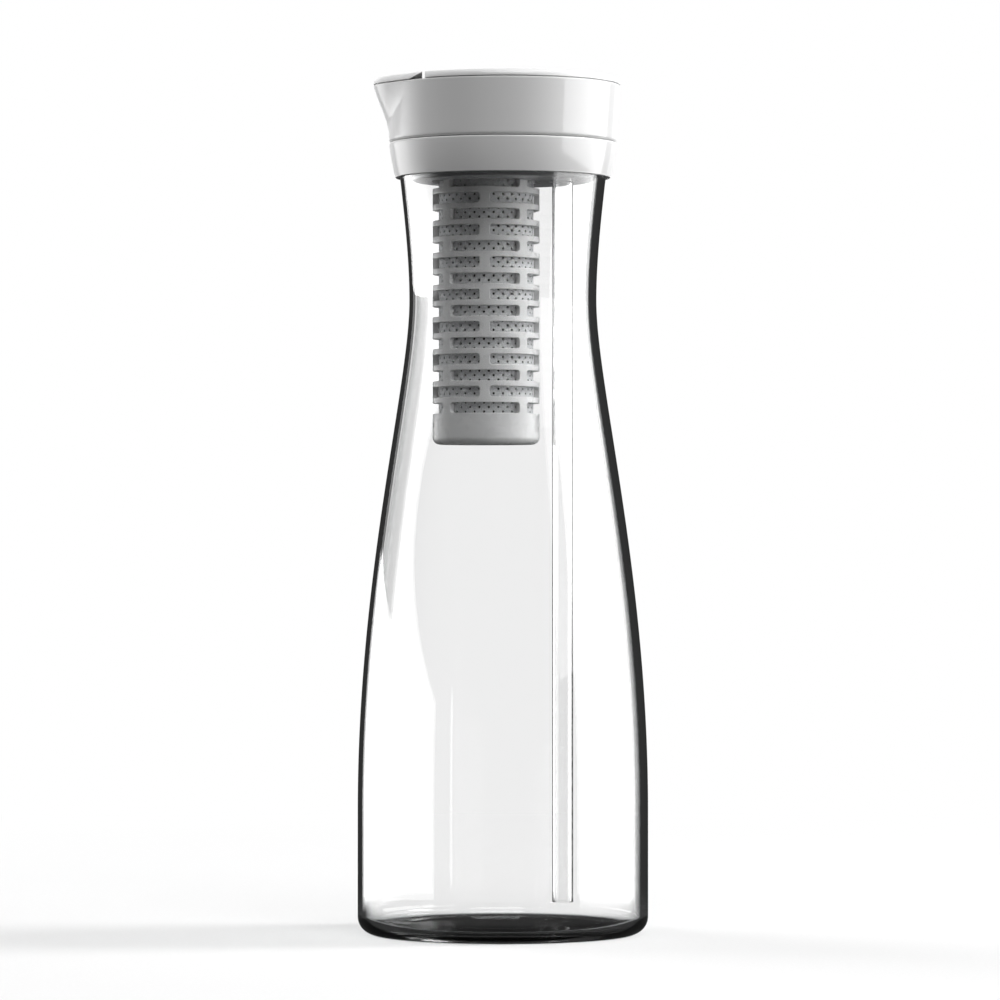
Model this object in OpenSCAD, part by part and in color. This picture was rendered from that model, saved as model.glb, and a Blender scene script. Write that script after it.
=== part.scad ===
// Water filter carafe: glass body, two-tier lid with a rocker flap, slotted filter cage and vent tube.
// Millimetres, +Z up, origin at the centre of the base on the table, pouring lip towards -X.

/* [Glass carafe] */
// Outer diameter of the straight lower body
body_d = 100; // [92:1:110]
// Outer diameter at the waist of the neck
waist_d = 64.4; // [62:0.2:70]
// Height of the waist above the table
waist_z = 218; // [205:1:228]
// Height at which the body starts to draw in
straight_h = 43; // [25:1:60]
// Height of the glass rim above the table
rim_h = 268.6; // [258:0.2:285]
// How far the mouth flares out beyond the waist
mouth_flare = 4; // [3:0.1:5]
// Wall thickness of the glass
glass_wall = 2.6; // [2:0.1:3.2]
// Height of the inside floor above the table
floor_z = 3.4; // [3:0.1:7]
// Outer radius of the heel
heel_r = 6; // [4:0.5:9]

/* [Lid] */
// Visible height of the lower tier
collar_h = 11.9; // [10.5:0.1:13]
// Depth of the plug below the seam
plug_depth = 13.2; // [12:0.1:15]
// Height of the upper tier above the seam
ring_h = 19.8; // [18:0.1:26]
// Outward draft of the upper tier
ring_draft = 1.3; // [0.5:0.1:2.5]
// Thickness of the cover and the flap
cover_h = 2.7; // [2.5:0.1:3.2]
// Wall thickness of the lid
lid_wall = 2.5; // [2.2:0.1:3]
// Gap between the two tiers
seam_gap = 0.3; // [0.2:0.1:0.6]

/* [Spout and flap] */
// How far the lip stands out of the ring
lip_reach = 4.1; // [2:0.1:6]
// Height over which the lip flares
lip_drop = 16.4; // [10:0.2:17]
// Radius of the lip seen from above
lip_r = 22.5; // [16:0.5:26]
// Distance of the hinge axis from the carafe axis
hinge_off = 32.3; // [31.5:0.1:33]
// Length of the flap's tail behind the hinge axis
tail_len = 4.5; // [4:0.1:5]
// Gap between the tail and the cover
flap_gap = 0.9; // [0.9:0.1:1.4]
// Diameter of the hinge pin
pin_d = 1.2; // [1:0.1:1.4]

/* [Filter] */
// Gap between the cage and the vent tube
tube_gap = 4.4; // [3:0.1:6]
// Wall thickness of the cage
cage_wall = 1.9; // [1.3:0.1:2.2]
// Gap between the cage and the cartridge
sleeve_gap = 0.2; // [0.1:0.1:0.8]
// Number of slot rows
slot_rows = 15; // [7:1:16]
// Distance from row to row
slot_pitch = 5.54; // [5:0.02:6]
// Height of a slot
slot_h = 3.63; // [2.5:0.01:4]
// Angle that a slot takes
slot_angle = 79; // [60:1:82]
// Height that the first row reaches into the socket
slot_rise = 1.06; // [0.4:0.02:1.2]
// Height of the plain cup below the slots
cup_h = 10.5; // [8:0.5:20]
// Depth of the socket in the plug
socket_depth = 6.4; // [5.5:0.1:8]

/* [Vent tube] */
// Outer diameter of the tube
tube_d = 7.2; // [6:0.1:8]
// Wall thickness of the tube
tube_wall = 0.8; // [0.6:0.1:1.2]
// Distance of the tube's end from the inside floor
tube_foot = 7.4; // [4:0.2:20]
// Clear space between the neck and what hangs in it
neck_clear = 5.4; // [4:0.1:6]

/* [Hidden] */
$fn = 96;

// Cubic curve through four control points, its direction, and a point w inside of it
function curve(p, t) = pow(1 - t, 3) * p[0] + 3 * t * pow(1 - t, 2) * p[1]
                     + 3 * t * t * (1 - t) * p[2] + pow(t, 3) * p[3];
function heading(p, t) = let (d = pow(1 - t, 2) * (p[1] - p[0]) + 2 * t * (1 - t) * (p[2] - p[1])
                              + t * t * (p[3] - p[2])) d / norm(d);
function inside(p, t, w) = let (d = heading(p, t)) curve(p, t) + w * [-d[1], d[0]];
function arc(c, r, from, to, n) = [for (i = [0:n]) let (a = from + (to - from) * i / n)
                                   c + r * [cos(a), sin(a)]];
function smooth(t) = let (u = min(max(t, 0), 1)) u * u * (3 - 2 * u);

// Glass
foot_w = 6;
foot_slope = 2;
foot_h = 0.8;
body_r = body_d / 2;
waist_r = waist_d / 2;
mouth_r = waist_r + mouth_flare;
taper_h = waist_z - straight_h;
taper = [[body_r, straight_h], [body_r, straight_h + 0.463 * taper_h],
         [waist_r, waist_z - 0.166 * taper_h], [waist_r, waist_z]];
lip_top = rim_h - glass_wall / 2;
flare = [[waist_r, waist_z], [waist_r, waist_z + 0.34 * (lip_top - waist_z)],
         [mouth_r - 0.37 * mouth_flare, lip_top - 0.28 * (lip_top - waist_z)], [mouth_r, lip_top]];
flare_out = [for (i = [0:12]) let (p = curve(flare, i / 12)) [p[1], p[0]]];
flare_in = [for (i = [0:12]) let (p = inside(flare, i / 12, glass_wall)) [p[1], p[0]]];

// Heights of the lid
gasket_t = 0.8;
web_t = 2.3;
plug_t = 2;
spigot_rise = 5.4;
web_z = rim_h + 0.4 + gasket_t;
seam_z = web_z + web_t;
skirt_z = seam_z - collar_h;
plug_z = seam_z - plug_depth;
plug_top = plug_z + plug_t;
spigot_z = seam_z + spigot_rise;
ring_z = seam_z + seam_gap;
lip_z = seam_z + ring_h;
top_z = lip_z + cover_h;

// Radii of the lid
glass_gap = 0.4;
skirt_in = lookup(skirt_z, flare_out) + glass_gap;
skirt_r = skirt_in + lid_wall / 2;
seam_r = mouth_r + glass_gap + lid_wall;
ring_in = seam_r - lid_wall + 0.1;
spigot_r = ring_in - 0.3;
plug_r = lookup(plug_z, flare_in) - 1.2;
plug_gap = 0.2;
flange_t = 1.1;
flange_r = plug_r + 1.6;
ring_r = seam_r + ring_draft;
edge_r = cover_h - 0.35;
ring_wall = 2.2;
ring_foot = 0.9;
lip_ease = 0.86;
groove_w = 1;
cover_depth = 5;
sweep_lo = 4.8;
sweep_hi = 4.6;
lip_turns = concat([for (a = [-42:3:42]) a], [for (a = [48:6:312]) a]);
span = 2 * (ring_r + lip_reach);

// Hinge
hinge_drop = 2.3;
knuckle_wall = 0.7;
hinge_x = -hinge_off;
hinge_z = top_z - hinge_drop;
pin_r = pin_d / 2;
knuckle_r = pin_r + knuckle_wall;
flap_z = lip_z + 0.2;
tail_x = hinge_x + tail_len;
cover_x = tail_x + flap_gap;
tail_angle = atan((top_z - 0.3 - flap_z) / tail_len);
knuckle_y = 14;
knuckle_w = 3;

// Filter and vent: cage and tube share the width of the neck
hang_r = waist_r - glass_wall - neck_clear;
tube_r = tube_d / 2;
cage_r = hang_r - tube_r - tube_gap / 2;
cage_x = cage_r - hang_r;
tube_x = hang_r - tube_r;
slot_z = plug_z + slot_rise - slot_h / 2;
cage_z = slot_z - (slot_rows - 1) * slot_pitch - slot_h / 2 - cup_h;
cage_floor = cage_z + 2;
socket_r = cage_r + 0.3;
socket_z = plug_z + socket_depth;
cage_top = socket_z - 0.3;
sleeve_r = cage_r - cage_wall - sleeve_gap;
cap_t = 2;
spigot_h = 3.5;
bore_r = 5;
tower_h = 6.5;
tube_rise = 13;
sleeve_lo = cage_floor + cap_t;
sleeve_hi = plug_z + 0.3;
block_r = sleeve_r - 1.8;
nozzle_r = 5.6;
outlet_r = nozzle_r + 0.4;
tower_z = socket_z + tower_h;
nozzle_z = tower_z - 0.5;
tube_lo = floor_z + tube_foot;
tube_hi = seam_z + tube_rise;

// Distance of the lip outline from the axis at an angle from -X, for a ring of radius r that reaches
// out by e, taken w inside: a circle, a tangent and the lip's own arc
function lip_outline(a, r, e, w) = let (
    b = abs(a > 180 ? a - 360 : a),
    d = r + e - lip_r,
    touch = acos(min(1, (r - lip_r) / d)),
    turn = atan2((lip_r - w) * sin(touch), d + (lip_r - w) * cos(touch)))
    b >= touch ? r - w
    : b > turn ? (r - w) / cos(touch - b)
    : d * cos(b) + sqrt(pow(lip_r - w, 2) - pow(d * sin(b), 2));
function lip_point(a, r, e, w) = lip_outline(a, r, e, w) * [-cos(a), -sin(a)];
function ring_at(z) = seam_r + ring_draft * (z - ring_z) / (lip_z - ring_z);
function lip_at(z) = lip_reach * smooth(lip_ease * (z - lip_z + lip_drop) / lip_drop) / smooth(lip_ease);

// Solid between outlines of equal length, each clockwise as seen from the last of them
module stack(levels) {
    n = len(levels[0]);
    m = len(levels);
    polyhedron(
        [for (l = levels) for (p = l) p],
        concat(
            [[for (i = [n - 1:-1:0]) i]],
            [for (k = [0:m - 2]) for (i = [0:n - 1]) let (j = (i + 1) % n)
                for (f = [[k * n + i, k * n + j, k * n + n + j], [k * n + i, k * n + n + j, k * n + n + i]]) f],
            [[for (i = [0:n - 1]) (m - 1) * n + i]]));
}

// Closed ring through sections that follow one another around the axis
module loop(sections) {
    n = len(sections[0]);
    m = len(sections);
    polyhedron(
        [for (s = sections) for (p = s) p],
        [for (k = [0:m - 1]) for (i = [0:n - 1]) let (j = (i + 1) % n, q = (k + 1) % m)
            for (f = [[k * n + i, q * n + j, q * n + i], [k * n + i, k * n + j, q * n + j]]) f]);
}

module seal(r, z, thick) {
    translate([0, 0, z]) rotate_extrude() translate([r, 0]) circle(thick);
}

module tube(r, wall, lo, hi) {
    translate([0, 0, lo]) difference() {
        cylinder(r = r, h = hi - lo);
        translate([0, 0, -1]) cylinder(r = r - wall, h = hi - lo + 2);
    }
}

// Straight bar along Y through the hinge axis
module on_hinge(r, w, y = 0) {
    translate([hinge_x, y, hinge_z]) rotate([90, 0, 0]) cylinder(r = r, h = w, center = true);
}

module glass_carafe() {
    up = heading(flare, 1);
    out = [up[1], -up[0]];
    rim_c = inside(flare, 1, glass_wall / 2);
    in_r = max(heel_r - glass_wall, 2);
    color([0.86, 0.93, 0.94, 0.35]) rotate_extrude() polygon(concat(
        [[0, foot_h], [body_r - heel_r - foot_w - foot_slope, foot_h], [body_r - heel_r - foot_w, 0]],
        arc([body_r - heel_r, heel_r], heel_r, -90, 0, 6),
        [for (i = [0:16]) curve(taper, i / 16)],
        [for (i = [1:12]) curve(flare, i / 12)],
        [for (a = [22.5:22.5:157.5]) rim_c + glass_wall / 2 * (cos(a) * out + sin(a) * up)],
        [for (i = [12:-1:1]) inside(flare, i / 12, glass_wall)],
        [for (i = [16:-1:0]) inside(taper, i / 16, glass_wall)],
        arc([body_r - glass_wall - in_r, floor_z + in_r], in_r, 0, -90, 5),
        [[0, floor_z]]));
}

module neck_gasket() {
    r = plug_r + 0.03;
    lo = plug_z + 1.2;
    hi = web_z - gasket_t;
    fins = [lo + 1.6, (lo + hi) / 2 + 0.6];
    color([0.8, 0.82, 0.83]) rotate_extrude() polygon(concat(
        [[r, lo], [r + 0.8, lo]],
        [for (z = fins) let (tip = lookup(z, flare_in) - 0.35)
            for (p = [[r + 0.8, z - 0.5], [tip, z], [tip, z + 0.35], [r + 0.8, z + 0.9]]) p],
        [[r + 0.8, hi], [mouth_r - 0.4, hi], [mouth_r - 0.4, web_z], [r, web_z]]));
}

module lid_collar() {
    side = [[skirt_r, skirt_z + 0.3], [skirt_r + 0.7, skirt_z + sweep_lo],
            [seam_r, seam_z - sweep_hi], [seam_r, seam_z - 0.45]];
    groove = spigot_r - 1.25;
    color([0.93, 0.93, 0.93]) rotate_extrude() polygon(concat(
        [[skirt_in, skirt_z], [skirt_r - 0.3, skirt_z]],
        [for (i = [0:8]) curve(side, i / 8)],
        [[seam_r - 0.4, seam_z], [spigot_r, seam_z],
         [spigot_r, seam_z + 1.7], [groove, seam_z + 1.7], [groove, seam_z + 3.4],
         [spigot_r, seam_z + 3.4], [spigot_r, spigot_z - 0.5], [spigot_r - 0.5, spigot_z],
         [spigot_r - 2.4, spigot_z], [spigot_r - 2.4, seam_z], [flange_r + plug_gap, seam_z],
         [flange_r + plug_gap, seam_z - flange_t], [plug_r + plug_gap, seam_z - flange_t],
         [plug_r + plug_gap, web_z], [mouth_r + glass_gap, web_z],
         [mouth_r + glass_gap, rim_h - 1.5]]));
}

// Plug that drops into the collar and holds the cage and the tube
module filter_holder() {
    color([0.93, 0.93, 0.93]) difference() {
        union() {
            rotate_extrude() polygon(
                [[0, plug_z], [plug_r - 0.6, plug_z], [plug_r, plug_z + 0.6], [plug_r, seam_z - flange_t],
                 [flange_r, seam_z - flange_t], [flange_r, seam_z], [plug_r - 2, seam_z],
                 [plug_r - 2, plug_top], [0, plug_top]]);
            translate([cage_x, 0, plug_z + 0.5]) cylinder(r = socket_r + 1.6, h = socket_depth + 1.5);
            translate([cage_x, 0, plug_z + 1]) cylinder(r = outlet_r + 2, h = tower_z - plug_z - 1);
        }
        translate([cage_x, 0, plug_z - 1]) cylinder(r = socket_r, h = socket_depth + 1);
        translate([cage_x, 0, plug_z]) cylinder(r = outlet_r, h = tower_z - plug_z + 1);
        translate([tube_x, 0, plug_z - 1]) cylinder(r = tube_r + 1.2, h = 4);
    }
}

module cap_seal() {
    color([0.75, 0.77, 0.78]) seal(spigot_r - 0.5, seam_z + 2.55, 0.65);
}

module spout_ring() {
    levels = [for (i = [0:8]) lip_z - lip_drop + (lip_drop - 0.35) * i / 8];
    step_z = spigot_z + 0.8;
    side = concat(
        [[ring_foot, ring_z], [0.3 * ring_foot, ring_z + 0.3 * ring_foot], [0, ring_z + ring_foot]],
        [for (z = levels) [0, z]],
        [[0.35, lip_z], [ring_wall - 0.35, lip_z]],
        [for (i = [0:6]) [ring_wall, lip_z - 0.35 - (lip_z - step_z - 2.35) * i / 6]],
        [[ring_at(step_z) - ring_in, step_z], [seam_r - ring_in, ring_z]]);
    color([0.95, 0.95, 0.95]) loop([for (a = lip_turns) [for (s = side)
        let (p = lip_point(a, ring_at(s[1]), lip_at(s[1]), s[0])) [p[0], p[1], s[1]]]]);
}

module top_cover() {
    skirt = ring_at(lip_z - cover_depth) - ring_wall - 0.15;
    under = top_z - 1.8;
    arm_z = lip_z - 2.6;
    wall_y = sqrt(pow(skirt - 1, 2) - cover_x * cover_x);
    color([0.95, 0.95, 0.95]) difference() {
        union() {
            difference() {
                rotate_extrude() polygon(concat(
                    [[0, under], [skirt - 1.5, under], [skirt - 1.5, lip_z - cover_depth], [skirt, lip_z - cover_depth],
                     [skirt, lip_z], [ring_r - groove_w, lip_z], [ring_r - groove_w, top_z - edge_r]],
                    arc([ring_r - edge_r, top_z - edge_r], edge_r, 0, 90, 6),
                    [[0, top_z]]));
                translate([cover_x - span, -span / 2, lip_z - span / 2]) cube(span);
            }
            translate([cover_x, -wall_y, arm_z]) cube([1.6, 2 * wall_y, under + 0.5 - arm_z]);
            for (s = [-1, 1]) {
                y = s * (knuckle_y + knuckle_w / 2);
                translate([hinge_x - 1, y - knuckle_w / 2, arm_z]) cube([cover_x + 0.8 - hinge_x + 1, knuckle_w, 2.2]);
                translate([hinge_x - 1, y - knuckle_w / 2, arm_z]) cube([2, knuckle_w, hinge_z - arm_z]);
                on_hinge(knuckle_r, knuckle_w, y);
            }
        }
        for (s = [-1, 1]) on_hinge(pin_r + 0.02, knuckle_w + 1, s * (knuckle_y + knuckle_w / 2));
    }
}

module spout_flap() {
    edge = concat([[0.35, flap_z]], arc([edge_r, top_z - edge_r], edge_r, 180, 90, 6));
    color([0.95, 0.95, 0.95]) difference() {
        union() {
            difference() {
                stack([for (l = edge) [for (a = [57:-3:-57])
                    let (p = lip_point(a, ring_r, lip_reach, l[0])) [p[0], p[1], l[1]]]]);
                translate([tail_x, -span / 2, flap_z - span / 2]) cube(span);
                translate([hinge_x, 0, flap_z]) rotate([0, -tail_angle, 0]) translate([-span / 2, -span / 2, -span]) cube(span);
            }
            on_hinge(knuckle_r, 2 * knuckle_y);
        }
        for (s = [-1, 1]) on_hinge(knuckle_r + 0.3, knuckle_w + 0.6, s * (knuckle_y + knuckle_w / 2));
        on_hinge(pin_r + 0.06, 2 * knuckle_y + 1);
    }
}

module flap_seal() {
    color([0.75, 0.77, 0.78]) intersection() {
        translate([0, 0, flap_z - 1.2]) linear_extrude(1.2)
            polygon([for (a = lip_turns) lip_point(a, ring_r, lip_reach, ring_wall + 0.6)]);
        translate([hinge_x - 2.2 - span, -span / 2, flap_z - span / 2]) cube(span);
    }
}

module flap_pin() {
    color([0.7, 0.7, 0.72]) on_hinge(pin_r, 2 * (knuckle_y + knuckle_w));
}

// Cutter of one slot: a rounded rectangle on the cage wall, spread out from the axis
module slot() {
    turn = 0.8 / cage_r * 180 / PI;
    a = slot_angle / 2 - turn;
    h = slot_h / 2 - 0.8;
    rim = [for (q = [[1, 1, 0], [-1, 1, 90], [-1, -1, 180], [1, -1, 270]]) for (k = [0:30:90])
        [q[0] * a + turn * cos(q[2] + k), q[1] * h + 0.8 * sin(q[2] + k)]];
    stack([for (r = [cage_r * 1.4, cage_r * 0.65]) [for (p = rim) [r * cos(p[0]), r * sin(p[0]), p[1]]]]);
}

module filter_cage() {
    r = cage_r - cage_wall;
    groove = [cage_top - 3.8, cage_top - 2.6];
    color([0.94, 0.94, 0.94]) translate([cage_x, 0, 0]) difference() {
        rotate_extrude() polygon(concat(
            [[0, cage_z]],
            arc([cage_r - 2.4, cage_z + 2.4], 2.4, -90, 0, 5),
            [[cage_r, groove[0]], [cage_r - 0.8, groove[0]], [cage_r - 0.8, groove[1]], [cage_r, groove[1]],
             [cage_r, cage_top - 0.4], [cage_r - 0.4, cage_top], [r, cage_top], [r, cage_floor], [0, cage_floor]]));
        for (i = [0:slot_rows - 1]) for (k = [0:3])
            translate([0, 0, slot_z - i * slot_pitch]) rotate([0, 0, 90 * k + (i % 2) * 45]) slot();
    }
}

module cage_seal() {
    color([0.75, 0.77, 0.78]) translate([cage_x, 0, 0]) seal(cage_r - 0.3, cage_top - 3.2, 0.45);
}

module cartridge_sleeve() {
    color([0.8, 0.8, 0.8]) translate([cage_x, 0, 0]) tube(sleeve_r, 0.8, sleeve_lo, sleeve_hi);
}

module cartridge_bottom_cap() {
    r = sleeve_r - 0.9;
    color([0.85, 0.85, 0.85]) translate([cage_x, 0, 0]) rotate_extrude() polygon(
        [[0, cage_floor], [sleeve_r, cage_floor], [sleeve_r, sleeve_lo], [r, sleeve_lo],
         [r, sleeve_lo + spigot_h], [r - 1.5, sleeve_lo + spigot_h], [r - 1.5, sleeve_lo], [0, sleeve_lo]]);
}

module cartridge_top_cap() {
    r = sleeve_r - 0.9;
    top = sleeve_hi + cap_t;
    groove = [nozzle_z - 3.6, nozzle_z - 2.2];
    color([0.85, 0.85, 0.85]) translate([cage_x, 0, 0]) rotate_extrude() polygon(
        [[3.4, sleeve_hi], [r - 1.5, sleeve_hi], [r - 1.5, sleeve_hi - spigot_h], [r, sleeve_hi - spigot_h],
         [r, sleeve_hi], [sleeve_r, sleeve_hi], [sleeve_r, top], [nozzle_r, top],
         [nozzle_r, groove[0]], [nozzle_r - 0.8, groove[0]], [nozzle_r - 0.8, groove[1]], [nozzle_r, groove[1]],
         [nozzle_r, nozzle_z - 0.4], [nozzle_r - 0.4, nozzle_z], [4, nozzle_z], [4, nozzle_z - 1.2], [3.4, nozzle_z - 1.2]]);
}

module carbon_block() {
    color([0.2, 0.2, 0.2]) translate([cage_x, 0, 0])
        tube(block_r, block_r - bore_r, sleeve_lo + spigot_h, sleeve_hi - spigot_h);
}

module fleece_wrap() {
    color([0.9, 0.9, 0.88]) translate([cage_x, 0, 0])
        tube(sleeve_r - 0.95, 0.8, sleeve_lo + spigot_h, sleeve_hi - spigot_h);
}

module nozzle_seal() {
    color([0.75, 0.77, 0.78]) translate([cage_x, 0, 0]) seal(nozzle_r - 0.25, nozzle_z - 2.9, 0.5);
}

module outlet_mesh() {
    color([0.72, 0.73, 0.75]) translate([cage_x, 0, nozzle_z - 1.2]) cylinder(r = 3.95, h = 0.8);
}

module vent_tube() {
    color([0.85, 0.9, 0.92, 0.5]) translate([tube_x, 0, 0]) tube(tube_r, tube_wall, tube_lo, tube_hi);
}

module vent_grommet() {
    r = tube_r + 0.03;
    color([0.8, 0.82, 0.83]) translate([tube_x, 0, 0]) rotate_extrude() polygon(
        [[r, plug_z + 0.8], [tube_r + 1.15, plug_z + 0.8], [tube_r + 1.15, plug_top],
         [tube_r + 2, plug_top], [tube_r + 2, plug_top + 1.5], [r, plug_top + 1.5]]);
}

glass_carafe();
neck_gasket();
lid_collar();
filter_holder();
cap_seal();
spout_ring();
top_cover();
spout_flap();
flap_seal();
flap_pin();
filter_cage();
cage_seal();
cartridge_sleeve();
cartridge_bottom_cap();
cartridge_top_cap();
carbon_block();
fleece_wrap();
nozzle_seal();
outlet_mesh();
vent_tube();
vent_grommet();
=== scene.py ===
# %% [markdown]
# # A filter carafe
# The object is a glass carafe with a white two-tier lid. A slotted cage with a filter cartridge hangs in
# its neck, next to a clear tube that lets air in while water is poured. The shapes and joints come from a
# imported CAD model, and this script dresses it: it makes the smooth visible pieces, the finishes, the
# light and the camera.

# %% Load the CAD frame
import math

import bmesh
import bpy
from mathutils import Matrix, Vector


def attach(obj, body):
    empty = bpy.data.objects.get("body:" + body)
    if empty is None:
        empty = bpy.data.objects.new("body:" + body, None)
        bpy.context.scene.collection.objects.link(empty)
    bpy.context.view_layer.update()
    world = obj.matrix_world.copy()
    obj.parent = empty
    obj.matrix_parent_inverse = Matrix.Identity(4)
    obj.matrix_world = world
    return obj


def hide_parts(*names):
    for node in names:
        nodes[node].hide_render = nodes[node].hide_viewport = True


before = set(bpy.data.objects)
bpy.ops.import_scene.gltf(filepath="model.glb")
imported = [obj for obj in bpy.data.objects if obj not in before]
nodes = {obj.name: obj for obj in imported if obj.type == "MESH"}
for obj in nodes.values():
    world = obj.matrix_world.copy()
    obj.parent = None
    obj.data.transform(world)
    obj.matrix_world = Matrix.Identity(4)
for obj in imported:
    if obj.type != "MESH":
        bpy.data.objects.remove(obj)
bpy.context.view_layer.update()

# %% [markdown]
# Blender works in metres and the drawing of the carafe in millimetres. The sizes of the pieces are written
# in millimetres, as on the drawing, and one factor turns them into metres when a mesh is made. Only the
# lamps and the paper of the floor, which measure metres, are given in metres.

# %% Millimetres and the scene
MM = 0.001
scene = bpy.context.scene
scene.view_settings.view_transform = "Standard"


def put_in_scene(name, data):
    """A new object at the origin, with its place in its mesh."""
    thing = bpy.data.objects.new(name, data)
    scene.collection.objects.link(thing)
    return thing


# %% [markdown]
# The camera stands level in front of the carafe at about half its height. A long lens from 1.75 m keeps the
# sides nearly straight, as product photographs do. A level camera keeps upright edges upright, so the
# picture is moved up by the lens shift and not by a tilt. It stands a little to the left and looks along
# the gap behind the flap, so that light shows through that gap.

# %% Camera
CAMERA_X, CAMERA_AWAY, CAMERA_Z, AIM_X = -27.4, 1750, 137.6, -1.0
camera = put_in_scene("camera", bpy.data.cameras.new("camera"))
camera.location = (CAMERA_X * MM, -CAMERA_AWAY * MM, CAMERA_Z * MM)
camera.rotation_euler = (math.radians(90), 0, -math.atan2(AIM_X - CAMERA_X, CAMERA_AWAY))
camera.data.lens = 182.9
camera.data.sensor_width = 36
camera.data.shift_y = 0.034
camera.data.clip_end = 50
scene.camera = camera
print("camera at", tuple(round(v, 3) for v in camera.location))

# %% [markdown]
# Every finish is a small tree of nodes. One function adds a node: it takes the node's kind, what goes into
# its sockets and its settings. What goes into a socket is a value, another node, whose first output is
# meant, or one of its other outputs. Colours are written as sRGB hex values, as a paint chart gives them,
# and one function turns them into the linear values that light adds up in.


# %% Node and colour helpers
def fill(node, sockets):
    """Sets sockets of a node to values, or links them to other nodes or their outputs."""
    for name, value in sockets.items():
        if isinstance(value, bpy.types.Node):
            value = value.outputs[0]
        if isinstance(value, bpy.types.NodeSocket):
            node.id_data.links.new(value, node.inputs[name])
        else:
            node.inputs[name].default_value = value


def add(tree, kind, sockets=None, **settings):
    """Adds one node to a tree, with its settings and with what goes into its sockets."""
    node = tree.nodes.new(kind)
    for name, value in settings.items():
        setattr(node, name, value)
    fill(node, sockets or {})
    return node


def hex_colour(text):
    """Linear RGBA of an sRGB hex value."""
    parts = [int(text[i : i + 2], 16) / 255 for i in (1, 3, 5)]
    return (*(c / 12.92 if c <= 0.04045 else ((c + 0.055) / 1.055) ** 2.4 for c in parts), 1.0)


def set_stops(ramp, *stops):
    """Sets the stops of a colour ramp: where each one lies, and its hex value."""
    for stop, (place, text) in zip(ramp.color_ramp.elements, stops):
        stop.position, stop.color = place, hex_colour(text)
    return ramp


print("mid grey #808080 is", round(hex_colour("#808080")[0], 3), "in linear light")

# %% [markdown]
# White plastic looks white only beside something darker, and clear glass shows only at its edges. So the
# light comes from large softboxes at the sides, a little behind the carafe, and the front stays dim: the
# sides of the lid go white, its middle stays grey, and the edge of the right softbox draws a crisp line down
# the gloss. The left one hangs low and fades at both ends, slowly towards the front. Above it a strong panel
# lights the left of the lid. It shows in no reflection, because in the glass it would be a white patch. What
# the glass mirrors there is a dim panel a little nearer, which leaves a soft grey strip beside the dark
# outline. A small lamp on the right gives the shadow on the floor its direction, and weak ones at the front
# right, in front and above lift the faces that look that way.


# %% Softboxes
def softbox(name, place, aim, size, power, back=None, front=None):
    """A rectangle of light that looks at a point. It is even, or fades between two places near either end."""
    lamp = bpy.data.lights.new(name, "AREA")
    lamp.shape, lamp.size, lamp.size_y = "RECTANGLE", size[0], size[1]
    lamp.energy = power
    thing = put_in_scene(name, lamp)
    thing.location = place
    thing.rotation_euler = (Vector(aim) - Vector(place)).to_track_quat("-Z", "Y").to_euler()
    thing.visible_camera = False
    if back or front:
        lamp.use_nodes = True
        tree = lamp.node_tree
        spot = add(tree, "ShaderNodeNewGeometry").outputs["Parametric"]
        across = add(tree, "ShaderNodeSeparateXYZ", {0: spot}).outputs["X"]
        level = 1.0
        for dark, lit in filter(None, (back, front)):
            span = {"Value": across, "From Min": dark, "From Max": lit}
            fade = add(tree, "ShaderNodeMapRange", span, interpolation_type="SMOOTHSTEP")
            level = add(tree, "ShaderNodeMath", {0: fade, 1: level}, operation="MULTIPLY")
        fill(tree.nodes["Emission"], {"Strength": level})
    return thing


LEFT_BACK, LEFT_FRONT = (0.0, 0.10), (0.925, 0.328)
softbox("right_softbox", (2.40, 0.30, 0.35), (0, 0.30, 0.35), (3.20, 1.30), 43.0)
softbox("left_softbox", (-2.195, 0.979, -0.06), (0.045, 0.117, -0.06), (3.73, 0.78), 28.2, LEFT_BACK, LEFT_FRONT)
left_high = softbox("left_high", (-1.954, 1.394, 0.80), (0, 0, 0.80), (1.79, 0.90), 53.0)
left_high.visible_glossy = left_high.visible_transmission = False
softbox("left_dim", (-1.92, 1.37, 0.75), (0, 0, 0.75), (1.79, 1.00), 4.5, front=(0.7, 0.0))
softbox("right_key", (1.70, 0.20, 1.40), (0, 0, 0.1), (0.60, 0.60), 30.0)
softbox("right_high", (2.08, -1.20, 0.80), (0, 0, 0.28), (1.20, 0.90), 5.0)
softbox("front_softbox", (0.15, -1.35, 2.15), (0, 0, 0.25), (1.60, 1.20), 20.0)
softbox("top_softbox", (0.00, -0.10, 1.75), (0, 0, 0.1), (1.60, 1.20), 4.0)

# %% [markdown]
# The room behind is plain white where the camera looks at it, also straight through the glass. What the
# gloss and the walls of the glass mirror is a dim room, as between the dark screens of a studio, because
# clear glass gets its dark outline only from something dark at its sides. Light Path tells these rays
# apart: a path that was mirrored once has a Glossy Depth of 1 or more.


# %% Room
def straight_looks(tree):
    """Light Path's outputs, and a node that gives 1 for looks that were neither mirrored nor scattered."""
    rays = add(tree, "ShaderNodeLightPath").outputs
    kinds = {0: rays["Is Camera Ray"], 1: rays["Is Transmission Ray"]}
    looks = add(tree, "ShaderNodeMath", kinds, operation="MAXIMUM")
    depths = {0: rays["Glossy Depth"], 1: rays["Diffuse Depth"]}
    turned_off = add(tree, "ShaderNodeMath", depths, operation="ADD")
    straight = add(tree, "ShaderNodeMath", {0: turned_off, 1: 0.5}, operation="LESS_THAN")
    return rays, add(tree, "ShaderNodeMath", {0: looks, 1: straight}, operation="MULTIPLY")


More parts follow.
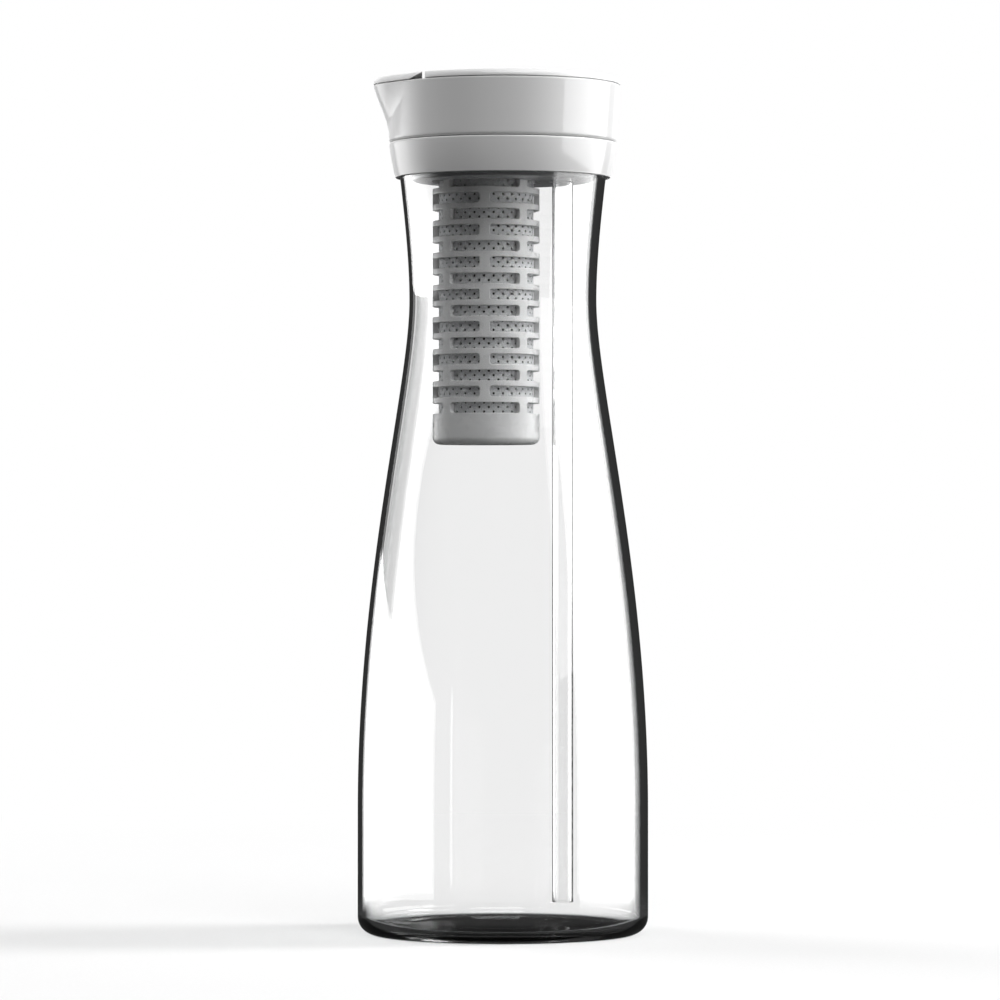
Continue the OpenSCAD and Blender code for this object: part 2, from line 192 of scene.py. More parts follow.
ROOM_LIGHT, ROOM_MIRRORED = 0.28, 0.035
world = bpy.data.worlds.new("white_room")
scene.world = world
world.use_nodes = True
tree = world.node_tree
rays, seen = straight_looks(tree)
dim = add(tree, "ShaderNodeMapRange", {"Value": rays["Is Glossy Ray"], "To Min": ROOM_LIGHT, "To Max": ROOM_MIRRORED})
level = add(tree, "ShaderNodeMapRange", {"Value": seen, "To Min": dim, "To Max": 1.0})
fill(tree.nodes["Background"], {"Color": (1, 1, 1, 1), "Strength": level})
print("room:", world.name)

# %% [markdown]
# The floor is white paper. It takes the lamps' light and with it the shadow of the carafe, and it glows a
# little for the camera. Away from the carafe the glow takes over, so that the floor runs into the white room
# without an edge, and under the foot the paper's colour is painted nearly black, a painted shade where no
# light gets in. Light that comes back from it is held low, so that what looks down stays grey. Mirrored rays
# see the paper painted dark near the carafe, a painted shade for what the glass foot mirrors, and at some
# distance they go through it and see the dim room and the softboxes, which reach a little below the floor.

# %% Floor
FOOT_FROM, FOOT_TO = 43.5 * MM, 45.5 * MM
OPEN_FROM, OPEN_TO = 120 * MM, 190 * MM
WHITE_FROM, WHITE_TO = 200 * MM, 750 * MM
GLOW, PULP_DARK, PULP_LIGHT, FIBRE = 0.165, 0.60, 0.66, 1.2 * MM
PULP_BOUNCED, PULP_PAINTED_MIRROR_SHADE, PULP_PAINTED_FOOT_SHADE = 0.05, 0.04, 0.005
PAPER_HALF, PAPER_Z = 6.0, -0.1 * MM
floor_finish = bpy.data.materials.new("white_paper")
floor_finish.use_nodes = True
tree = floor_finish.node_tree
tree.nodes.remove(tree.nodes["Principled BSDF"])
rays, seen = straight_looks(tree)
place = add(tree, "ShaderNodeTexCoord").outputs["Object"]
away = add(tree, "ShaderNodeVectorMath", {0: place}, operation="LENGTH").outputs["Value"]
foot_span = {"Value": away, "From Min": FOOT_FROM, "From Max": FOOT_TO}
open_span = {"Value": away, "From Min": OPEN_FROM, "From Max": OPEN_TO}
white_span = {"Value": away, "From Min": WHITE_FROM, "From Max": WHITE_TO}
lit = add(tree, "ShaderNodeMapRange", {**foot_span, "To Min": 0.0, "To Max": GLOW})
lit = add(tree, "ShaderNodeMath", {0: lit, 1: seen}, operation="MULTIPLY")
glow = add(tree, "ShaderNodeEmission", {"Color": (1, 1, 1, 1), "Strength": lit})
far = add(tree, "ShaderNodeMapRange", white_span, interpolation_type="SMOOTHSTEP")
far = add(tree, "ShaderNodeMath", {0: far, 1: seen}, operation="MULTIPLY")
white = add(tree, "ShaderNodeEmission", {"Color": (1, 1, 1, 1), "Strength": 1.0})
fibres = add(tree, "ShaderNodeTexNoise", {"Vector": place, "Scale": 1 / FIBRE, "Detail": 3.0})
mirrored = add(tree, "ShaderNodeMath", {0: rays["Glossy Depth"], 1: 0.5}, operation="GREATER_THAN")
bounced = add(tree, "ShaderNodeMath", {0: rays["Diffuse Depth"], 1: 0.5}, operation="GREATER_THAN")
pulp = add(tree, "ShaderNodeMapRange", {"Value": fibres.outputs["Fac"], "To Min": PULP_DARK, "To Max": PULP_LIGHT})
pulp = add(tree, "ShaderNodeMapRange", {"Value": bounced, "To Min": pulp, "To Max": PULP_BOUNCED})
# Painted shade: mirrored rays see the paper dark near the carafe.
pulp = add(tree, "ShaderNodeMapRange", {"Value": mirrored, "To Min": pulp, "To Max": PULP_PAINTED_MIRROR_SHADE})
# Painted shade: under the foot the paper is made nearly black.
pulp = add(tree, "ShaderNodeMapRange", {**foot_span, "To Min": PULP_PAINTED_FOOT_SHADE, "To Max": pulp})
paper = add(tree, "ShaderNodeBsdfDiffuse", {"Color": pulp})
near = add(tree, "ShaderNodeAddShader", {0: paper, 1: glow})
both = add(tree, "ShaderNodeMixShader", {0: far, 1: near, 2: white})
open_to_room = add(tree, "ShaderNodeMapRange", {**open_span, "To Max": mirrored})
gone = add(tree, "ShaderNodeBsdfTransparent")
paper_or_room = add(tree, "ShaderNodeMixShader", {0: open_to_room, 1: both, 2: gone})
fill(tree.nodes["Material Output"], {"Surface": paper_or_room})

signs = ((-1, -1), (1, -1), (1, 1), (-1, 1))
floor_mesh = bpy.data.meshes.new("floor")
floor_mesh.from_pydata([(x * PAPER_HALF, y * PAPER_HALF, PAPER_Z) for x, y in signs], [], [(0, 1, 2, 3)])
floor_mesh.materials.append(floor_finish)
floor = put_in_scene("floor", floor_mesh)
print("floor:", [round(v, 2) for v in floor.dimensions])

# %% [markdown]
# Soda-lime glass is blown into a mould and fire-polished: no roughness, an index of 1.5 and hardly any
# colour. Its edges are painted darker in its colour, a painted shade for the dark that clear glass shows at
# its sides. Layer Weight gives that from any side: it tells how much a surface turns away from the eye.
# Lamps reach what is inside through a clear shader that only their rays meet, because glass alone would
# throw a full shadow. That shader is a little grey, because some of their light also finds its way in
# through the glass itself. The tube is extruded acrylic, which is as clear, and its thin wall is painted
# darker at its edges in the same way, so it shows as two dark lines.


# %% Glass and acrylic
def new_finish(name):
    """A new material, its tree of nodes and its shader."""
    material = bpy.data.materials.new(name)
    material.use_nodes = True
    return material, material.node_tree, material.node_tree.nodes["Principled BSDF"]


def clear_finish(name, ior, edge_from, edge_to, painted_edge_shade, lamp_colour):
    """A clear material with painted edge shade between two amounts of turning away, and the colour it gives lamp
    light.
    """
    material, tree, shader = new_finish(name)
    turned_away = add(tree, "ShaderNodeLayerWeight", {"Blend": 0.5}).outputs["Facing"]
    edge = add(tree, "ShaderNodeValToRGB", {"Fac": turned_away})
    set_stops(edge, (edge_from, "#FFFFFF"), (edge_to, painted_edge_shade))
    fill(shader, {"Base Color": edge, "Transmission Weight": 1.0, "Roughness": 0.0, "IOR": ior})
    lamp_ray = add(tree, "ShaderNodeLightPath").outputs["Is Shadow Ray"]
    clear = add(tree, "ShaderNodeBsdfTransparent", {"Color": hex_colour(lamp_colour)})
    mix = add(tree, "ShaderNodeMixShader", {0: lamp_ray, 1: shader, 2: clear})
    fill(tree.nodes["Material Output"], {"Surface": mix})
    return material


# Both are painted darker towards their edges: painted shade for the dark they show at their sides.
glass = clear_finish("soda_lime_glass", 1.5, 0.60, 0.95, "#A8AEAE", "#CECFCF")
clear_tube = clear_finish("clear_extruded_acrylic", 1.49, 0.50, 0.90, "#666A6C", "#F4F6F6")
print("clear:", glass.name, clear_tube.name)

# %% [markdown]
# The plastics, the rubber and the steel have an even colour, and what tells them apart is their gloss.
# Noise drives the roughness of each, at the size at which its surface is uneven.
#
# The lid is ABS, moulded in polished steel: glossy, with a very faint unevenness that only bends the edge
# of a reflection a little, and finer noise for a tiny bump. Its shine fades where the wall turns away from
# the eye, because there it would mirror the dim room and draw a grey outline round the white lid. Inside,
# the same white plastic stands in the lid's own shade, and its colour is painted grey as that shade. Its
# mould was not polished, so it is duller.


# %% Plastics, rubber and steel
def grained(name, sockets, grain, detail, rough_from, rough_to):
    """A material whose roughness varies with noise of a grain in millimetres. Gives it, its tree and its shader."""
    material, tree, shader = new_finish(name)
    place = add(tree, "ShaderNodeTexCoord").outputs["Object"]
    flow = add(tree, "ShaderNodeTexNoise", {"Vector": place, "Scale": 1 / (grain * MM), "Detail": detail})
    gloss = add(tree, "ShaderNodeMapRange", {"Value": flow.outputs["Fac"], "To Min": rough_from, "To Max": rough_to})
    fill(shader, {**sockets, "Roughness": gloss})
    return material, tree, shader


# Moulded ABS, polished: sharp reflections.
abs_look = {"Base Color": hex_colour("#EDEDED"), "IOR": 1.52}
abs_gloss, tree, shader = grained("glossy_white_abs", abs_look, 9, 2.0, 0.06, 0.12)
place = add(tree, "ShaderNodeTexCoord").outputs["Object"]
peel = add(tree, "ShaderNodeTexNoise", {"Vector": place, "Scale": 1 / (1.6 * MM), "Detail": 1.0})
bump = add(tree, "ShaderNodeBump", {"Height": peel.outputs["Fac"], "Strength": 0.02, "Distance": 0.05 * MM})
turned_away = add(tree, "ShaderNodeLayerWeight", {"Blend": 0.5}).outputs["Facing"]
fade = {"Value": turned_away, "From Min": 0.5, "From Max": 0.72, "To Min": 0.5, "To Max": 0.0}
fill(shader, {"Normal": bump, "Specular IOR Level": add(tree, "ShaderNodeMapRange", fade)})
# The same white ABS from an unpolished mould: a dull shine, and a grey colour that is painted shade.
painted_shade_look = {"Base Color": hex_colour("#A8A9AA"), "IOR": 1.52}
abs_painted_shade = grained("white_abs_painted_grey_for_shade", painted_shade_look, 6, 2.0, 0.18, 0.28)[0]
# Polypropylene, moulded: satin, with soft broad highlights on the bars of the cage.
satin_look = {"Base Color": hex_colour("#E6E6E6"), "IOR": 1.49}
pp_satin = grained("satin_white_polypropylene", satin_look, 4, 2.0, 0.22, 0.34)[0]
# Silicone, moulded: nearly matt, its pale grey taken darker as painted shade for the band under the collar.
rubber_look = {"Base Color": hex_colour("#B4B6B8"), "IOR": 1.41}
silicone = grained("pale_moulded_silicone", rubber_look, 0.8, 3.0, 0.42, 0.62)[0]
# Stainless steel, drawn to wire: a blurred metal shine.
steel_look = {"Base Color": hex_colour("#B9BABC"), "Metallic": 1.0}
steel = grained("drawn_stainless_steel", steel_look, 0.3, 2.0, 0.22, 0.38)[0]
print("even colours:", [m.name for m in (abs_gloss, abs_painted_shade, pp_satin, silicone, steel)])

# %% [markdown]
# The sleeve of the cartridge, the fleece in it and the carbon block are speckled. The sleeve is a filled
# polypropylene with a fine grain, the fleece is white fibre whose colour is painted dark grey, a painted
# shade for the small holes of the sleeve through which it shows, and the block is pressed from grains of
# carbon, so it gets cells instead of noise, and a bump.


# %% Sleeve, fleece and carbon
def speckled(name, sockets, grain, detail, dark, light):
    """A material whose colour varies with noise of a grain in millimetres between two stops."""
    material, tree, shader = new_finish(name)
    place = add(tree, "ShaderNodeTexCoord").outputs["Object"]
    speck = add(tree, "ShaderNodeTexNoise", {"Vector": place, "Scale": 1 / (grain * MM), "Detail": detail})
    shade = add(tree, "ShaderNodeValToRGB", {"Fac": speck.outputs["Fac"]})
    fill(shader, {**sockets, "Base Color": set_stops(shade, dark, light)})
    return material


# Filled polypropylene, moulded: pale grey and matt.
sleeve_look = {"IOR": 1.49, "Roughness": 0.45}
sleeve_pp = speckled("pale_grey_polypropylene", sleeve_look, 0.5, 3.0, (0.3, "#C3C4C6"), (0.7, "#E0E1E2"))
# Fleece: no shine at all, speckled dark grey as painted shade for the holes it is seen through.
fleece_look = {"Roughness": 0.95}
fleece = speckled("filter_fleece_painted_dark_for_hole_shade", fleece_look, 0.35, 4.0, (0.0, "#2E2E2D"), (1.0, "#7C7B78"))
# Activated carbon, pressed: black and rough, grains of 0.6 mm.
carbon, tree, shader = new_finish("pressed_activated_carbon")
place = add(tree, "ShaderNodeTexCoord").outputs["Object"]
grain = add(tree, "ShaderNodeTexVoronoi", {"Vector": place, "Scale": 1 / (0.6 * MM)}).outputs["Distance"]
shade = add(tree, "ShaderNodeValToRGB", {"Fac": grain})
set_stops(shade, (0.0, "#3A3A3B"), (1.0, "#161617"))
bump = add(tree, "ShaderNodeBump", {"Height": grain, "Strength": 0.5, "Distance": 0.2 * MM})
fill(shader, {"Base Color": shade, "Roughness": 0.85, "Normal": bump})
print("speckled:", [m.name for m in (sleeve_pp, fleece, carbon)])

# %% [markdown]
# The CAD nodes whose shape is right keep their mesh and only change their finish.

# %% Finishes of the CAD nodes
users = (
    (glass, ("glass_carafe",)),
    (abs_gloss, ("lid_collar", "spout_ring", "top_cover", "spout_flap")),
    (abs_painted_shade, ("filter_holder",)),
    (pp_satin, ("filter_cage",)),
    (sleeve_pp, ("cartridge_sleeve", "cartridge_bottom_cap", "cartridge_top_cap")),
    (carbon, ("carbon_block",)),
    (fleece, ("fleece_wrap",)),
    (steel, ("outlet_mesh", "flap_pin")),
    (clear_tube, ("vent_tube",)),
    (silicone, ("neck_gasket", "cap_seal", "flap_seal", "cage_seal", "nozzle_seal", "vent_grommet")),
)
for finish, names in users:
    for name in names:
        nodes[name].data.materials.clear()
        nodes[name].data.materials.append(finish)
print("finished nodes:", sum(len(names) for finish, names in users))

# %% [markdown]
# Many pieces of this object are turned: a profile goes once round an axis. One Geometry Nodes tree does
# that. It lays out a grid with one row for each point of the profile, looks up that point's radius and
# height, and places the grid's columns round the axis. Merging by distance closes the seam and the poles.

# %% Geometry Nodes: a turned piece
WELD = 0.001 * MM


def begin_tree(name, inputs):
    """A Geometry Nodes tree that gives a piece, and the sockets of its inputs."""
    tree = bpy.data.node_groups.new(name, "GeometryNodeTree")
    for label, kind in inputs.items():
        tree.interface.new_socket(label, in_out="INPUT", socket_type="NodeSocket" + kind)
    tree.interface.new_socket("Piece", in_out="OUTPUT", socket_type="NodeSocketGeometry")
    return tree, add(tree, "NodeGroupInput").outputs


def end_tree(tree, shape, weld, finish):
    """Welds the points of a shape, gives it its finish and puts it out."""
    welded = add(tree, "GeometryNodeMergeByDistance", {"Geometry": shape, "Distance": weld})
    real = add(tree, "GeometryNodeRealizeInstances", {"Geometry": welded})
    dressed = add(tree, "GeometryNodeSetMaterial", {"Geometry": real, "Material": finish})
    add(tree, "NodeGroupOutput", {"Piece": dressed})
    print("tree:", tree.name, "with", len(tree.nodes), "nodes")


inputs = {"Profile": "Geometry", "Segments": "Int", "Axis X": "Float", "Finish": "Material"}
turning, given = begin_tree("turned_piece", inputs)
count = add(turning, "GeometryNodeAttributeDomainSize", {"Geometry": given["Profile"]}, component="MESH")
count = count.outputs["Point Count"]
columns = add(turning, "ShaderNodeMath", {0: given["Segments"], 1: 1.0}, operation="ADD")
grid = add(turning, "GeometryNodeMeshGrid", {"Vertices X": columns, "Vertices Y": count}).outputs["Mesh"]
index = add(turning, "GeometryNodeInputIndex")
row = add(turning, "ShaderNodeMath", {0: index, 1: count}, operation="MODULO")
column = add(turning, "ShaderNodeMath", {0: index, 1: count}, operation="DIVIDE")
column = add(turning, "ShaderNodeMath", {0: column}, operation="FLOOR")
step = add(turning, "ShaderNodeMath", {0: math.tau, 1: given["Segments"]}, operation="DIVIDE")
angle = add(turning, "ShaderNodeMath", {0: column, 1: step}, operation="MULTIPLY")
where = add(turning, "GeometryNodeInputPosition")
sample = {"Geometry": given["Profile"], "Value": where, "Index": row}
point = add(turning, "GeometryNodeSampleIndex", sample, data_type="FLOAT_VECTOR")
point = add(turning, "ShaderNodeSeparateXYZ", {0: point}).outputs
cosine = add(turning, "ShaderNodeMath", {0: angle}, operation="COSINE")
sine = add(turning, "ShaderNodeMath", {0: angle}, operation="SINE")
x = add(turning, "ShaderNodeMath", {0: point["X"], 1: cosine, 2: given["Axis X"]}, operation="MULTIPLY_ADD")
y = add(turning, "ShaderNodeMath", {0: point["X"], 1: sine}, operation="MULTIPLY")
spot = add(turning, "ShaderNodeCombineXYZ", {0: x, 1: y, 2: point["Z"]})
bent = add(turning, "GeometryNodeSetPosition", {"Geometry": grid, "Position": spot})
end_tree(turning, bent, WELD, given["Finish"])

# %% [markdown]
# A few small helpers make and finish any piece. Two make a mesh from points and the faces between loops of
# points. One turns what a modifier gives into a plain mesh, and one merges doubles, turns all faces outwards
# and shades the mesh smooth, with sharp edges kept sharp.


# %% Meshes and smooth shading
def new_mesh(name, points, faces=()):
    """A mesh from points in millimetres."""
    mesh = bpy.data.meshes.new(name)
    mesh.from_pydata([[v * MM for v in p] for p in points], [], list(faces))
    return mesh


def bands(size, count, closed=False):
    """Faces between loops of equal size that follow one another, and back to the first one if closed."""
    pairs = [(k, (k + 1) % count) for k in range(count if closed else count - 1)]
    steps = [(i, (i + 1) % size) for i in range(size)]
    return [(a * size + i, a * size + j, b * size + j, b * size + i) for a, b in pairs for i, j in steps]


def settle(thing):
    """Replaces an object's mesh by what its modifiers make of it."""
    mesh = bpy.data.meshes.new_from_object(thing.evaluated_get(bpy.context.evaluated_depsgraph_get()))
    thing.modifiers.clear()
    thing.data = mesh


def by_tree(name, mesh, group, values):
    """A piece that a Geometry Nodes tree makes from a mesh and values for its sockets."""
    thing = put_in_scene(name, mesh)
    modifier = thing.modifiers.new(group.name, "NODES")
    modifier.node_group = group
    ids = {s.name: s.identifier for s in group.interface.items_tree}
    for label, value in values.items():
        modifier[ids[label]] = value
    settle(thing)
    return thing


def smooth_out(thing, sharp=35):
    """Merges doubles, points faces outwards and shades smooth, except at edges sharper than an angle."""
    work = bmesh.new()
    work.from_mesh(thing.data)
    bmesh.ops.remove_doubles(work, verts=work.verts, dist=WELD)
    bmesh.ops.recalc_face_normals(work, faces=work.faces)
    work.to_mesh(thing.data)
    work.free()
    thing.data.shade_smooth()
    thing.data.set_sharp_from_angle(angle=math.radians(sharp))
    return thing


def turned(name, profile, finish, segments=192, axis_x=0.0, sharp=35):
    """A turned piece from its profile: radius and height of each point, in millimetres."""
    values = {"Segments": segments, "Axis X": axis_x * MM, "Finish": finish}
    return smooth_out(by_tree(name, new_mesh(name, [(r, 0, z) for r, z in profile]), turning, values), sharp)


# %% [markdown]
# The glass stands on a narrow ring, rises straight, draws in to a waist and flares to the mouth. The long
# sides are two cubic curves, and the inside is the same curve moved in by the wall. The rim is melted round.


# %% Curves
def on_curve(handles, t):
    """Point of a cubic curve with four handles."""
    a, b, c, d = (1 - t) ** 3, 3 * t * (1 - t) ** 2, 3 * t * t * (1 - t), t**3
    return tuple(a * p + b * q + c * r + d * s for p, q, r, s in zip(*handles))


def beside_curve(handles, t, wall):
    """The point of a cubic curve moved to its left by a wall."""
    x, z = on_curve(handles, t)
    (ax, az), (bx, bz), (cx, cz), (dx, dz) = handles
    u = (1 - t) ** 2 * (bx - ax) + 2 * t * (1 - t) * (cx - bx) + t * t * (dx - cx)
    v = (1 - t) ** 2 * (bz - az) + 2 * t * (1 - t) * (cz - bz) + t * t * (dz - cz)
    length = math.hypot(u, v)
    return x - wall * v / length, z + wall * u / length


def on_arc(centre, radius, start, end, steps):
    """Points of an arc, angles in degrees."""
    turns = [math.radians(start + (end - start) * i / steps) for i in range(steps + 1)]
    return [(centre[0] + radius * math.cos(a), centre[1] + radius * math.sin(a)) for a in turns]


# %% Glass carafe
BODY_R, WAIST_R, MOUTH_R = 50.0, 32.2, 36.2
WALL, HEEL_R, FLOOR_Z, FLOOR_ROUND = 2.6, 6.0, 3.4, 3.4
RECESS_H, STAND_R, MID_R = 0.8, 38.2, 20
STRAIGHT_H, WAIST_Z, RIM_Z = 43.0, 218.0, 267.3
TAPER_STEPS, FLARE_STEPS = 60, 32
rise, reach, spread = WAIST_Z - STRAIGHT_H, RIM_Z - WAIST_Z, MOUTH_R - WAIST_R
taper = [(BODY_R, STRAIGHT_H), (BODY_R, STRAIGHT_H + 0.463 * rise), (WAIST_R, WAIST_Z - 0.166 * rise)]
taper += [(WAIST_R, WAIST_Z)]
flare = [(WAIST_R, WAIST_Z), (WAIST_R, WAIST_Z + 0.34 * reach), (MOUTH_R - 0.37 * spread, RIM_Z - 0.28 * reach)]
flare += [(MOUTH_R, RIM_Z)]
rim_in = beside_curve(flare, 1, WALL)
rim_mid = ((MOUTH_R + rim_in[0]) / 2, (RIM_Z + rim_in[1]) / 2)
lean = math.degrees(math.atan2(RIM_Z - rim_mid[1], MOUTH_R - rim_mid[0]))
outside = [(0, RECESS_H), (MID_R, RECESS_H), (STAND_R - 2.8, RECESS_H), (STAND_R - 1.6, 0.55), (STAND_R - 0.8, 0.15)]
outside += [(STAND_R, 0)] + on_arc((BODY_R - HEEL_R, HEEL_R), HEEL_R, -90, 0, 16)
outside += [on_curve(taper, i / TAPER_STEPS) for i in range(TAPER_STEPS + 1)]
outside += [on_curve(flare, i / FLARE_STEPS) for i in range(1, FLARE_STEPS + 1)]
rim = on_arc(rim_mid, WALL / 2, lean, lean + 180, 14)[1:-1]
inside = [beside_curve(flare, i / FLARE_STEPS, WALL) for i in range(FLARE_STEPS, 0, -1)]
inside += [beside_curve(taper, i / TAPER_STEPS, WALL) for i in range(TAPER_STEPS, -1, -1)]
inside += on_arc((BODY_R - WALL - FLOOR_ROUND, FLOOR_Z + FLOOR_ROUND), FLOOR_ROUND, 0, -90, 12)
inside += [(MID_R, FLOOR_Z), (0, FLOOR_Z)]
carafe = turned("carafe_glass", outside + rim + inside, glass, segments=224, sharp=60)
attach(carafe, "carafe")
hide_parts("glass_carafe")
top = max(v.co.z for v in carafe.data.vertices) / MM
print("glass:", len(carafe.data.polygons), "faces, top at", round(top, 2))

# %% [markdown]
# The lower tier of the lid is moulded in one piece: a skirt over the glass, a web on its rim and a spigot
# for the upper tier. It is round all over, so it is turned too. Its side is one soft curve, and the small
# rounds at its edges catch a line of light.

# %% Lid collar
SKIRT_Z, WEB_Z, SEAM_Z, SPIGOT_Z = 260.2, 269.8, 272.1, 277.5
SKIRT_IN, SKIRT_R, SEAM_R, SPIGOT_R, PLUG_R = 35.81, 37.06, 39.1, 36.4, 31.45
SKIRT_ROUND, SEAM_ROUND, SPIGOT_ROUND, SPIGOT_WALL = 0.3, 0.4, 0.5, 2.4
GROOVE_R, GROOVE_LO, GROOVE_HI = SPIGOT_R - 1.25, SEAM_Z + 1.7, SEAM_Z + 3.4
FLANGE_Z, SEAT_R, PLUG_HOLE_R = SEAM_Z - 1.1, PLUG_R + 1.8, PLUG_R + 0.2
MOUTH_IN, MOUTH_Z = MOUTH_R + 0.4, RIM_Z - 0.2
side = [(SKIRT_R, SKIRT_Z + SKIRT_ROUND), (SKIRT_R + 0.97, SKIRT_Z + 4.0)]
side += [(SEAM_R - 0.39, SEAM_Z - 4.1), (SEAM_R, SEAM_Z - SEAM_ROUND)]
profile = [(SKIRT_IN, SKIRT_Z)]
profile += on_arc((SKIRT_R - SKIRT_ROUND, SKIRT_Z + SKIRT_ROUND), SKIRT_ROUND, -90, 0, 5)
profile += [on_curve(side, i / 24) for i in range(1, 25)]
profile += on_arc((SEAM_R - SEAM_ROUND, SEAM_Z - SEAM_ROUND), SEAM_ROUND, 0, 90, 6)[1:]
profile += [(SPIGOT_R, SEAM_Z), (SPIGOT_R, GROOVE_LO), (GROOVE_R, GROOVE_LO), (GROOVE_R, GROOVE_HI)]
profile += [(SPIGOT_R, GROOVE_HI)]
profile += on_arc((SPIGOT_R - SPIGOT_ROUND, SPIGOT_Z - SPIGOT_ROUND), SPIGOT_ROUND, 0, 90, 4)
profile += [(SPIGOT_R - SPIGOT_WALL, SPIGOT_Z), (SPIGOT_R - SPIGOT_WALL, SEAM_Z), (SEAT_R, SEAM_Z)]
profile += [(SEAT_R, FLANGE_Z), (PLUG_HOLE_R, FLANGE_Z), (PLUG_HOLE_R, WEB_Z), (MOUTH_IN, WEB_Z)]
profile += [(MOUTH_IN, MOUTH_Z), (SKIRT_IN, SKIRT_Z)]
collar = turned("lid_lower_tier", profile, abs_gloss)
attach(collar, "lid")
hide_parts("lid_collar")
print("collar:", len(collar.data.polygons), "faces")

# %% [markdown]
# The upper tier isn't round: near its top it runs out into a lip. Seen from above its outline is a circle,
# two straight tangents and a smaller arc, and the lip grows with the height. No turning gives that, and a
# sculpted lip would lose its even wall. So one section of the wall is placed at many angles round the axis,
# each pushed out by the outline at its own height, and a skin joins them.


# %% Outline of the lip
LIP_R, LIP_REACH, LIP_DROP, LIP_EASE = 22.5, 4.1, 16.4, 0.86
RING_Z, LIP_Z, TOP_Z, RING_R = 272.4, 291.9, 294.6, 40.4


def lip_point(turn, radius, reach, inset):
    """Point of the lip's outline at an angle from the lip, in degrees, taken inside by an inset."""
    b, away = math.radians(abs(turn)), radius + reach - LIP_R
    touch = math.acos(min(1, (radius - LIP_R) / away))
    arc = LIP_R - inset
    if b >= touch:
        out = radius - inset
    elif b > math.atan2(arc * math.sin(touch), away + arc * math.cos(touch)):
        out = (radius - inset) / math.cos(touch - b)
    else:
        out = away * math.cos(b) + math.sqrt(arc**2 - (away * math.sin(b)) ** 2)
    return -out * math.cos(math.radians(turn)), -out * math.sin(math.radians(turn))


def ring_at(z):
    """Radius of the upper tier at a height."""
    return SEAM_R + (RING_R - SEAM_R) * (z - RING_Z) / (LIP_Z - RING_Z)


def lip_at(z):
    """How far the lip stands out at a height."""
    t = LIP_EASE * max((z - LIP_Z + LIP_DROP) / LIP_DROP, 0)
    return LIP_REACH * t * t * (3 - 2 * t) / (LIP_EASE**2 * (3 - 2 * LIP_EASE))


print("lip stands out by", round(lip_at(LIP_Z), 2), "at the top")

# %% Spout ring
RING_WALL, RING_IN, RING_FOOT, RING_EDGE, STEP_Z = 2.2, 36.7, 0.9, 0.35, 278.3
RING_TURNS, OUT_STEPS, IN_STEPS = 288, 44, 16
edge_z, foot_z = LIP_Z - RING_EDGE, RING_Z + RING_FOOT
wall = on_arc((RING_FOOT, foot_z), RING_FOOT, 270, 180, 7)
wall += [(0, foot_z + (edge_z - foot_z) * i / OUT_STEPS) for i in range(1, OUT_STEPS)]
wall += on_arc((RING_EDGE, edge_z), RING_EDGE, 180, 90, 5)
wall += on_arc((RING_WALL - RING_EDGE, edge_z), RING_EDGE, 90, 0, 5)
wall += [(RING_WALL, edge_z - (edge_z - STEP_Z - 2) * i / IN_STEPS) for i in range(1, IN_STEPS + 1)]
wall += [(ring_at(STEP_Z) - RING_IN, STEP_Z), (SEAM_R - RING_IN, RING_Z)]
points = []
for k in range(RING_TURNS):
    turn = (360 / RING_TURNS * k + 180) % 360 - 180
    points += [(*lip_point(turn, ring_at(z), lip_at(z), inset), z) for inset, z in wall]
ring_mesh = new_mesh("lid_upper_tier", points, bands(len(wall), RING_TURNS, closed=True))
ring_mesh.materials.append(abs_gloss)
ring = smooth_out(put_in_scene("lid_upper_tier", ring_mesh))
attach(ring, "cap")
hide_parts("spout_ring")
lip = min(v.co.x for v in ring.data.vertices) / MM
print("ring:", len(ring.data.polygons), "faces, lip at", round(lip, 2))

# %% [markdown]
# The cover is a turned plate with a round edge, cut straight at the front, where two arms reach out and
# carry the hinge of the flap. The flap has the outline of the lip and a tail that is cut away below, so that
# a press on the tail lifts the lip end. Both are made of simple solids that are cut, added and taken out,
# as a machinist would make them, because that keeps edges and bores exact.


# %% Cutting, adding and boring
def cut_away(thing, point, out):
    """Cuts a piece along a plane, drops what lies on the side that the plane looks to, and closes the cut."""
    work = bmesh.new()
    work.from_mesh(thing.data)
    everything = work.verts[:] + work.edges[:] + work.faces[:]
    on_plane = [v * MM for v in point]
    bmesh.ops.bisect_plane(work, geom=everything, plane_co=on_plane, plane_no=out, clear_outer=True)
    bmesh.ops.holes_fill(work, edges=[e for e in work.edges if e.is_boundary])
    work.to_mesh(thing.data)
    work.free()


def machined(thing, operation, low, high, along=None):
    """Adds a block between two corners to a piece or takes it out, or a round bar along Y or Z between them."""
    work = bmesh.new()
    if along is None:
        bmesh.ops.create_cube(work, size=1)
    else:
        sides = 48 if along == "Y" else 144
        bmesh.ops.create_cone(work, cap_ends=True, segments=sides, radius1=0.5, radius2=0.5, depth=1)
        for v in work.verts:
            v.co = (v.co.x, v.co.z, v.co.y) if along == "Y" else v.co
        bmesh.ops.recalc_face_normals(work, faces=work.faces)
    for v in work.verts:
        v.co = [(a + b) / 2 * MM + c * (b - a) * MM for a, b, c in zip(low, high, v.co)]
    tool = put_in_scene("tool", bpy.data.meshes.new("tool"))
    work.to_mesh(tool.data)
    work.free()
    modifier = thing.modifiers.new("machine", "BOOLEAN")
    modifier.operation, modifier.solver, modifier.object = operation, "EXACT", tool
    settle(thing)
    bpy.data.objects.remove(tool)


HINGE_X, HINGE_Z = -32.3, 292.3


def hinge_bar(thing, operation, radius, near, far):
    """Adds a bar on the hinge's axis to a piece, or takes it out."""
    low, high = (HINGE_X - radius, near, HINGE_Z - radius), (HINGE_X + radius, far, HINGE_Z + radius)
    machined(thing, operation, low, high, "Y")


print("hinge at x", HINGE_X, "z", HINGE_Z)

